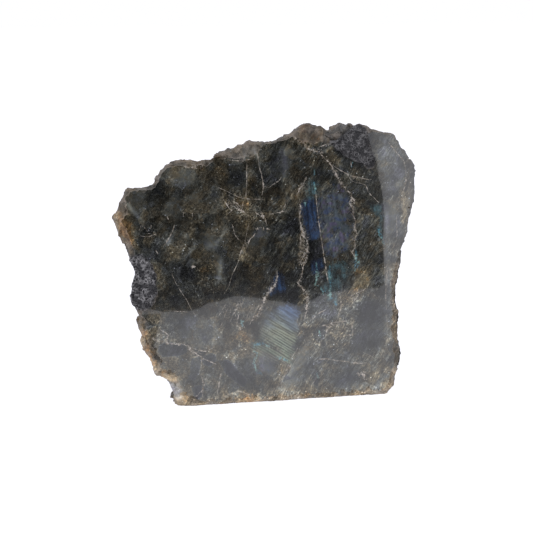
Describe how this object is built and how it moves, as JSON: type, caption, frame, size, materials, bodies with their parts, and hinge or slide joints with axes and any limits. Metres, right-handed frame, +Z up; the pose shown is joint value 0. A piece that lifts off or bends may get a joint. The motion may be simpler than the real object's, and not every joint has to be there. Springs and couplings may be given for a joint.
{
  "type": "labradorite chunk",
  "caption": "Upright chunk of dark labradorite with rough broken sides and back, one polished face with a blue-green flash, and a flat sawn base to stand on.",
  "frame": {"origin": "middle of the sawn base, on the surface that the stone stands on", "axes": "+Z up, -Y out of the polished face, +X to the right when looking at the polished face"},
  "size_m": [0.1225, 0.0392, 0.1114],
  "materials": {
    "labradorite": "rough broken stone, with one face ground flat and polished to a gloss"
  },
  "bodies": {
    "root": {"labradorite_chunk": "labradorite"}
  },
  "joints": []
}
